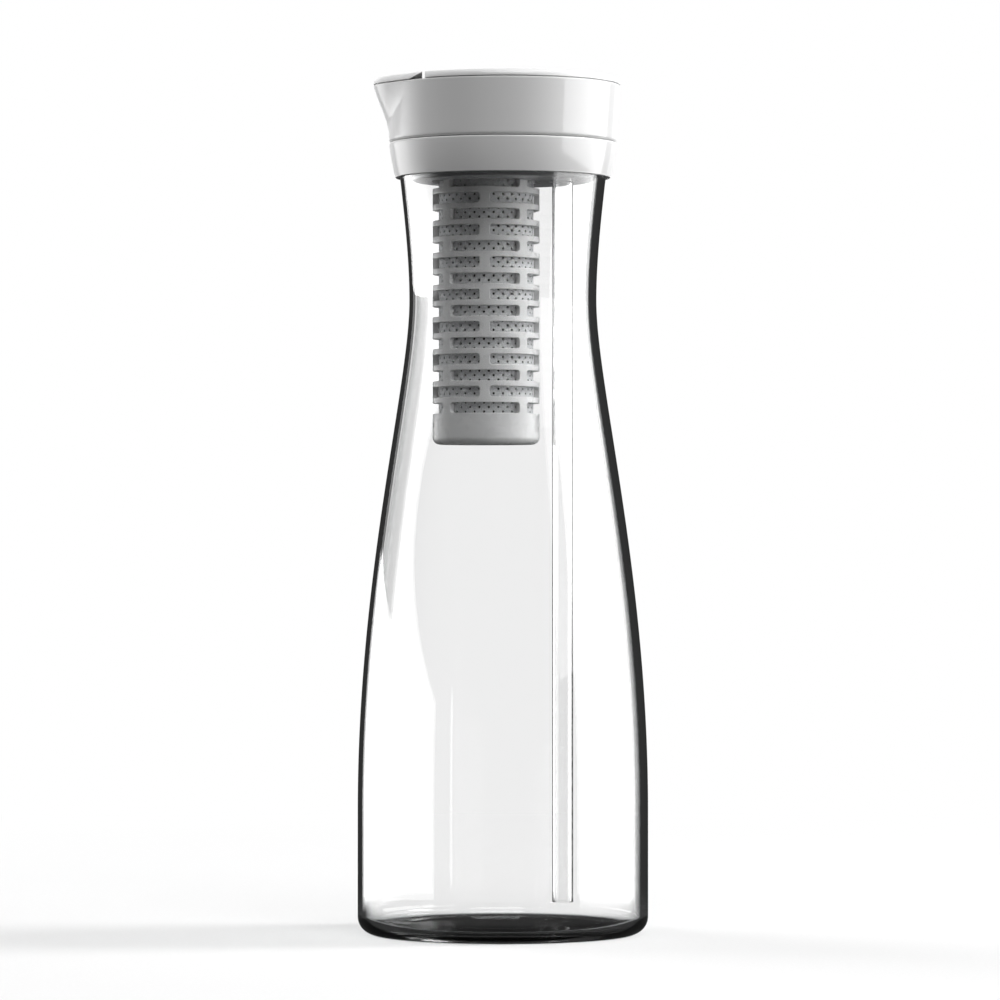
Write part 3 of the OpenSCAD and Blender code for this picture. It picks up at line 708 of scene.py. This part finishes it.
# %% Top cover
EDGE_R, COVER_X, COVER_R, COVER_IN, COVER_LIP = 2.35, -26.9, RING_R - 1, 37.72, 1.5
UNDER_Z, COVER_FOOT, ARM_Z, KNUCKLE_R, PIN_BORE = TOP_Z - 1.8, LIP_Z - 5, LIP_Z - 2.6, 1.3, 0.62
ARM_IN, ARM_OUT, ARM_H, FRONT_WALL = 14, 17, 2.2, 1.6
profile = [(0, UNDER_Z), (COVER_IN - COVER_LIP, UNDER_Z), (COVER_IN - COVER_LIP, COVER_FOOT)]
profile += [(COVER_IN, COVER_FOOT), (COVER_IN, LIP_Z), (COVER_R, LIP_Z), (COVER_R, TOP_Z - EDGE_R)]
profile += on_arc((RING_R - EDGE_R, TOP_Z - EDGE_R), EDGE_R, 0, 90, 12)
profile += [(RING_R - EDGE_R - 0.5, TOP_Z), (20, TOP_Z), (0, TOP_Z)]
cover = turned("lid_cover", profile, abs_gloss)
cut_away(cover, (COVER_X, 0, 0), (-1, 0, 0))
wall_y = math.sqrt((COVER_IN - 1) ** 2 - COVER_X**2)
machined(cover, "UNION", (COVER_X, -wall_y, ARM_Z), (COVER_X + FRONT_WALL, wall_y, UNDER_Z + 0.5))
for near, far in ((-ARM_OUT, -ARM_IN), (ARM_IN, ARM_OUT)):
    machined(cover, "UNION", (HINGE_X - 1, near, ARM_Z), (COVER_X + FRONT_WALL / 2, far, ARM_Z + ARM_H))
    machined(cover, "UNION", (HINGE_X - 1, near, ARM_Z), (HINGE_X + 1, far, HINGE_Z))
    hinge_bar(cover, "UNION", KNUCKLE_R, near, far)
hinge_bar(cover, "DIFFERENCE", PIN_BORE, -ARM_OUT - 1, ARM_OUT + 1)
smooth_out(cover, 30)
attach(cover, "cap")
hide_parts("top_cover")
print("cover:", len(cover.data.polygons), "faces")

# %% Spout flap
FLAP_Z, TAIL_X, TAIL_EDGE, FLAP_EDGE = LIP_Z + 0.2, -27.8, 0.3, 0.35
FLAP_HALF, FLAP_STEP = 57, 1.5
ARM_ROOM, ARM_ROOM_R, FLAP_BORE = 0.3, 1.6, 0.66
levels = [(FLAP_EDGE, FLAP_Z)] + on_arc((EDGE_R, TOP_Z - EDGE_R), EDGE_R, 180, 90, 10) + [(EDGE_R + 0.5, TOP_Z)]
turns = [-FLAP_HALF + FLAP_STEP * i for i in range(int(2 * FLAP_HALF / FLAP_STEP) + 1)]
points = [(*lip_point(t, RING_R, LIP_REACH, inset), z) for inset, z in levels for t in turns]
size = len(turns)
ends = [tuple(range(size)), tuple(range(len(points) - 1, len(points) - size - 1, -1))]
flap_mesh = new_mesh("lip_flap", points, ends + bands(size, len(levels)))
flap_mesh.materials.append(abs_gloss)
flap = smooth_out(put_in_scene("lip_flap", flap_mesh))
cut_away(flap, (TAIL_X, 0, 0), (1, 0, 0))
slope = math.atan((TOP_Z - TAIL_EDGE - FLAP_Z) / (TAIL_X - HINGE_X))
cut_away(flap, (HINGE_X, 0, FLAP_Z), (math.sin(slope), 0, -math.cos(slope)))
hinge_bar(flap, "UNION", KNUCKLE_R, -ARM_IN, ARM_IN)
for near, far in ((-ARM_OUT - ARM_ROOM, -ARM_IN + ARM_ROOM), (ARM_IN - ARM_ROOM, ARM_OUT + ARM_ROOM)):
    hinge_bar(flap, "DIFFERENCE", ARM_ROOM_R, near, far)
hinge_bar(flap, "DIFFERENCE", FLAP_BORE, -ARM_IN - 0.5, ARM_IN + 0.5)
smooth_out(flap, 30)
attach(flap, "flap")
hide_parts("spout_flap")
print("flap:", len(flap.data.polygons), "faces")

# %% [markdown]
# The cage and the sleeve of the cartridge are both a tube with one hole repeated in staggered rows: 15 rows
# of 4 slots, and 56 rows of 31 small holes. One cell with its hole is drawn flat. A Geometry Nodes tree
# sets it out in rows and columns, bends the sheet round the axis and welds the cells together. Cutting the
# holes out one by one would take far longer and leave ragged faces.

# %% Geometry Nodes: a wrapped pattern
inputs = {"Cell": "Geometry", "Columns": "Int", "Rows": "Int", "Cell Height": "Float"}
inputs |= {"Radius": "Float", "Axis X": "Float", "Foot Z": "Float", "Finish": "Material"}
wrapping, given = begin_tree("wrapped_pattern", inputs)
count = add(wrapping, "ShaderNodeMath", {0: given["Columns"], 1: given["Rows"]}, operation="MULTIPLY")
around = add(wrapping, "ShaderNodeMath", {0: given["Radius"], 1: math.tau}, operation="MULTIPLY")
width = add(wrapping, "ShaderNodeMath", {0: around, 1: given["Columns"]}, operation="DIVIDE")
index = add(wrapping, "GeometryNodeInputIndex")
column = add(wrapping, "ShaderNodeMath", {0: index, 1: given["Columns"]}, operation="MODULO")
row = add(wrapping, "ShaderNodeMath", {0: index, 1: given["Columns"]}, operation="DIVIDE")
row = add(wrapping, "ShaderNodeMath", {0: row}, operation="FLOOR")
odd = add(wrapping, "ShaderNodeMath", {0: row, 1: 2.0}, operation="MODULO")
shifted = add(wrapping, "ShaderNodeMath", {0: odd, 1: 0.5, 2: column}, operation="MULTIPLY_ADD")
x = add(wrapping, "ShaderNodeMath", {0: shifted, 1: width}, operation="MULTIPLY")
y = add(wrapping, "ShaderNodeMath", {0: row, 1: given["Cell Height"]}, operation="MULTIPLY")
spot = add(wrapping, "ShaderNodeCombineXYZ", {0: x, 1: y})
spots = add(wrapping, "GeometryNodePoints", {"Count": count, "Position": spot})
cells = add(wrapping, "GeometryNodeInstanceOnPoints", {"Points": spots, "Instance": given["Cell"]})
sheet = add(wrapping, "GeometryNodeRealizeInstances", {"Geometry": cells})
where = add(wrapping, "GeometryNodeInputPosition")
flat = add(wrapping, "ShaderNodeSeparateXYZ", {0: where}).outputs
angle = add(wrapping, "ShaderNodeMath", {0: flat["X"], 1: given["Radius"]}, operation="DIVIDE")
out = add(wrapping, "ShaderNodeMath", {0: flat["Z"], 1: given["Radius"]}, operation="ADD")
cosine = add(wrapping, "ShaderNodeMath", {0: angle}, operation="COSINE")
sine = add(wrapping, "ShaderNodeMath", {0: angle}, operation="SINE")
x = add(wrapping, "ShaderNodeMath", {0: out, 1: cosine, 2: given["Axis X"]}, operation="MULTIPLY_ADD")
y = add(wrapping, "ShaderNodeMath", {0: out, 1: sine}, operation="MULTIPLY")
z = add(wrapping, "ShaderNodeMath", {0: flat["Y"], 1: given["Foot Z"]}, operation="ADD")
spot = add(wrapping, "ShaderNodeCombineXYZ", {0: x, 1: y, 2: z})
bent = add(wrapping, "GeometryNodeSetPosition", {"Geometry": sheet, "Position": spot})
end_tree(wrapping, bent, 3 * WELD, given["Finish"])

# %% [markdown]
# A cell is drawn as loops of points with a band of faces between each two: its border, the rim of its hole
# on the outer face, the rim on the inner face, and the border again. The cage sits in its socket as it was
# pushed in, so its pattern is turned a little about its own axis.


# %% Cells
FILTER_X, FILTER_TURN = -5.8, math.radians(-1.9)


def wrapped(name, loops, columns, rows, height, radius, foot_z, finish):
    """A tube of cells from the loops of one cell: across, up and depth below the surface of each point."""
    cell = new_mesh(name, [p for loop in loops for p in loop], bands(len(loops[0]), len(loops)))
    values = {"Columns": columns, "Rows": rows, "Cell Height": height * MM, "Radius": radius * MM}
    values |= {"Axis X": FILTER_X * MM, "Foot Z": foot_z * MM, "Finish": finish}
    return by_tree(name, cell, wrapping, values)


def fused(things, sharp):
    """Welds several meshes into the first one."""
    work = bmesh.new()
    for thing in things:
        work.from_mesh(thing.data)
    bmesh.ops.remove_doubles(work, verts=work.verts, dist=4 * WELD)
    work.to_mesh(things[0].data)
    work.free()
    for thing in things[1:]:
        bpy.data.objects.remove(thing)
    return smooth_out(things[0], sharp)


def turn_in_socket(thing):
    """Turns a mesh a little about the axis of the filter."""
    cosine, sine = math.cos(FILTER_TURN), math.sin(FILTER_TURN)
    for v in thing.data.vertices:
        x, y = v.co.x - FILTER_X * MM, v.co.y
        v.co.x, v.co.y = FILTER_X * MM + x * cosine - y * sine, x * sine + y * cosine


print("cells wrap round x =", FILTER_X)

# %% [markdown]
# The cage is moulded from satin polypropylene. Each slot has round corners and a small round at its edge,
# which shows as a thin light line. A plain cup closes the cage below, and a band with a groove for the seal
# goes into the lid. The cup and the band are turned with as many segments as the cells have at their
# edges, so that all of it welds into one mesh.

# %% Slot of the cage
CAGE_R, CAGE_WALL, CAGE_Z, CAGE_TOP = 18.4, 1.9, 168.27, 265.0
SLOT_PITCH, SLOT_ROWS, SLOT_COLUMNS, SLOT_TOP_Z = 5.54, 15, 4, 258.145
SLOT_HALF_W, SLOT_HALF_H, SLOT_CORNER = math.radians(39.5) * CAGE_R, 1.815, 0.8
SLOT_EDGE, SLOT_BEVEL, SLOT_FRAME = 0.14, 0.04, 0.45
STEPS_ACROSS, STEPS_UP = 20, 4
CELL_ACROSS, CELL_UP = STEPS_ACROSS + 4, STEPS_UP + 4


def slot_loop(grow, depth):
    """A slot's rim, made wider by a growth: half a corner, an edge, half a corner, from the upper right."""
    a, b, r = SLOT_HALF_W - SLOT_CORNER, SLOT_HALF_H - SLOT_CORNER, SLOT_CORNER + grow
    across, up = (2 * a, STEPS_ACROSS), (2 * b, STEPS_UP)
    loop = []
    for centre, start, way, (run, steps) in (
        ((a, b), 45, (-1, 0), across),
        ((-a, b), 135, (0, -1), up),
        ((-a, -b), 225, (1, 0), across),
        ((a, -b), 315, (0, 1), up),
    ):
        loop += on_arc(centre, r, start, start + 45, 2)
        x, y = loop[-1]
        loop += [(x + way[0] * run * i / steps, y + way[1] * run * i / steps) for i in range(1, steps + 1)]
        next_centre = (centre[0] + way[0] * run, centre[1] + way[1] * run)
        loop.append(on_arc(next_centre, r, start + 45, start + 67.5, 1)[1])
    return [(x, y, depth) for x, y in loop]


half_w, half_h = math.pi / SLOT_COLUMNS * CAGE_R, SLOT_PITCH / 2
border = [(half_w - 2 * half_w * i / CELL_ACROSS, half_h) for i in range(CELL_ACROSS)]
border += [(-half_w, half_h - 2 * half_h * i / CELL_UP) for i in range(CELL_UP)]
border += [(-x, -y) for x, y in border]
rims = [(SLOT_FRAME, 0), (SLOT_EDGE, 0), (SLOT_BEVEL, -SLOT_BEVEL), (0, -SLOT_EDGE)]
rims += [(0, SLOT_EDGE - CAGE_WALL), (SLOT_EDGE, -CAGE_WALL)]
loops = [[(x, y, 0) for x, y in border]] + [slot_loop(*r) for r in rims] + [[(x, y, -CAGE_WALL) for x, y in border]]
print("slot:", len(loops), "loops of", len(border), "points")

# %% Filter cage
CUP_ROUND, CUP_FLOOR, CUP_IN_ROUND, CUP_MID_R = 2.4, 2, 0.8, 8
BAND_BREAK, BAND_IN_BREAK, SEAL_HI, SEAL_LO, SEAL_DEEP = 0.4, 0.3, 2.6, 3.8, 0.8
rows_lo = SLOT_TOP_Z - (SLOT_ROWS - 0.5) * SLOT_PITCH
rows_hi = rows_lo + SLOT_ROWS * SLOT_PITCH
grille = wrapped(
    "filter_cage_shell", loops, SLOT_COLUMNS, SLOT_ROWS, SLOT_PITCH, CAGE_R, rows_lo + half_h, pp_satin
)
inner, cup_z = CAGE_R - CAGE_WALL, CAGE_Z + CUP_FLOOR
cup = [(CAGE_R, rows_lo), (CAGE_R, CAGE_Z + 6), (CAGE_R, CAGE_Z + CUP_ROUND + 0.5)]
cup += on_arc((CAGE_R - CUP_ROUND, CAGE_Z + CUP_ROUND), CUP_ROUND, 0, -90, 10)
cup += [(CAGE_R - 3, CAGE_Z), (CUP_MID_R, CAGE_Z), (0, CAGE_Z), (0, cup_z), (CUP_MID_R, cup_z)]
cup += on_arc((inner - CUP_IN_ROUND, cup_z + CUP_IN_ROUND), CUP_IN_ROUND, -90, 0, 4) + [(inner, rows_lo)]
band = [(inner, rows_hi), (inner, CAGE_TOP - BAND_IN_BREAK), (inner + BAND_IN_BREAK, CAGE_TOP)]
band += [(CAGE_R - BAND_BREAK, CAGE_TOP), (CAGE_R, CAGE_TOP - BAND_BREAK), (CAGE_R, CAGE_TOP - SEAL_HI)]
band += [(CAGE_R - SEAL_DEEP, CAGE_TOP - SEAL_HI), (CAGE_R - SEAL_DEEP, CAGE_TOP - SEAL_LO)]
band += [(CAGE_R, CAGE_TOP - SEAL_LO), (CAGE_R, rows_hi)]
segments = SLOT_COLUMNS * CELL_ACROSS
cup_shell = turned("cup_shell", cup, pp_satin, segments=segments, axis_x=FILTER_X)
band_shell = turned("band_shell", band, pp_satin, segments=segments, axis_x=FILTER_X)
cage = fused([grille, cup_shell, band_shell], 40)
turn_in_socket(cage)
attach(cage, "filter")
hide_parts("filter_cage")
print("cage:", len(cage.data.polygons), "faces")

# %% [markdown]
# The sleeve of the cartridge is a thin tube with small round holes that let water into the fleece. Each hole
# is an octagon, which looks round at this size and keeps a cell to 24 faces.

# %% Perforated sleeve
SLEEVE_R, SLEEVE_WALL, SLEEVE_LO, SLEEVE_HI = 16.3, 0.8, 172.27, 259.2
HOLE_R, HOLE_COLUMNS, HOLE_ROWS = 0.45, 31, 56
half_w, half_h = math.pi * SLEEVE_R / HOLE_COLUMNS, (SLEEVE_HI - SLEEVE_LO) / HOLE_ROWS / 2
signs = ((1, 1), (0, 1), (-1, 1), (-1, 0), (-1, -1), (0, -1), (1, -1), (1, 0))
border = [(half_w * across, half_h * up) for across, up in signs]
hole = on_arc((0, 0), HOLE_R, 45, 405, 8)[:8]
deep = ((border, 0), (hole, 0), (hole, -SLEEVE_WALL), (border, -SLEEVE_WALL))
loops = [[(x, y, depth) for x, y in loop] for loop, depth in deep]
sleeve = wrapped(
    "perforated_sleeve", loops, HOLE_COLUMNS, HOLE_ROWS, 2 * half_h, SLEEVE_R, SLEEVE_LO + half_h, sleeve_pp
)
pieces = [sleeve]
for z in (SLEEVE_LO, SLEEVE_HI):
    profile = [(SLEEVE_R, z), (SLEEVE_R - SLEEVE_WALL, z)]
    pieces.append(turned("end_ring", profile, sleeve_pp, segments=2 * HOLE_COLUMNS, axis_x=FILTER_X))
fused(pieces, 40)
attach(sleeve, "filter")
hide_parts("cartridge_sleeve")
print("sleeve:", len(sleeve.data.polygons), "faces")

# %% [markdown]
# The tube that lets air in is drawn plastic, cut square and broken a little at its edges.

# %% Vent tube
TUBE_X, TUBE_R, TUBE_WALL, TUBE_LO, TUBE_HI = 20.6, 3.6, 0.8, 10.8, 285.1
TUBE_BREAK, TUBE_END, TUBE_STEPS = 0.12, 3, 12
bore = TUBE_R - TUBE_WALL
length = TUBE_HI - TUBE_LO - 2 * TUBE_END
heights = [TUBE_LO + TUBE_END + length * i / TUBE_STEPS for i in range(TUBE_STEPS + 1)]
profile = [(TUBE_R - TUBE_BREAK, TUBE_LO), (TUBE_R, TUBE_LO + TUBE_BREAK)] + [(TUBE_R, z) for z in heights]
profile += [(TUBE_R, TUBE_HI - TUBE_BREAK), (TUBE_R - TUBE_BREAK, TUBE_HI)]
profile += [(bore + TUBE_BREAK, TUBE_HI), (bore, TUBE_HI - TUBE_BREAK)] + [(bore, z) for z in reversed(heights)]
profile += [(bore, TUBE_LO + TUBE_BREAK), (bore + TUBE_BREAK, TUBE_LO), (TUBE_R - TUBE_BREAK, TUBE_LO)]
tube = turned("air_tube", profile, clear_tube, segments=96, axis_x=TUBE_X)
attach(tube, "lid")
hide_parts("vent_tube")
print("tube:", len(tube.data.polygons), "faces")

# %% [markdown]
# The plug closes the mouth from inside and holds the filter: a turned dish with a flange, a boss with the
# socket for the cage, a tower for its outlet and a hole for the tube. Boss, tower and bores stand off the
# axis, so they are added and bored after turning.

# %% Filter holder
PLUG_Z, PLUG_ROUND, PLUG_WALL, PLUG_FLANGE = 258.9, 0.6, 2, 1.6
BOSS, TOWER = (FILTER_X, 20.3, 0.5, 8.4), (FILTER_X, 8.0, 1.0, 12.9)
SOCKET, OUTLET, TUBE_HOLE = (FILTER_X, 18.7, -1.0, 6.4), (FILTER_X, 6.0, 5.0, 14.0), (TUBE_X, 4.8, -1.0, 3.0)
profile = [(0, PLUG_Z)] + on_arc((PLUG_R - PLUG_ROUND, PLUG_Z + PLUG_ROUND), PLUG_ROUND, -90, 0, 5)
profile += [(PLUG_R, FLANGE_Z), (PLUG_R + PLUG_FLANGE, FLANGE_Z), (PLUG_R + PLUG_FLANGE, SEAM_Z)]
profile += [(PLUG_R - PLUG_WALL, SEAM_Z), (PLUG_R - PLUG_WALL, PLUG_Z + PLUG_WALL), (0, PLUG_Z + PLUG_WALL)]
# The plug's grey finish is painted shade for the inside of the lid.
plug = turned("lid_plug", profile, abs_painted_shade)
for operation, bars in (("UNION", (BOSS, TOWER)), ("DIFFERENCE", (SOCKET, OUTLET, TUBE_HOLE))):
    for x, r, low, high in bars:
        machined(plug, operation, (x - r, -r, PLUG_Z + low), (x + r, r, PLUG_Z + high), "Z")
smooth_out(plug, 30)
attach(plug, "lid")
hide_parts("filter_holder")
print("plug:", len(plug.data.polygons), "faces")
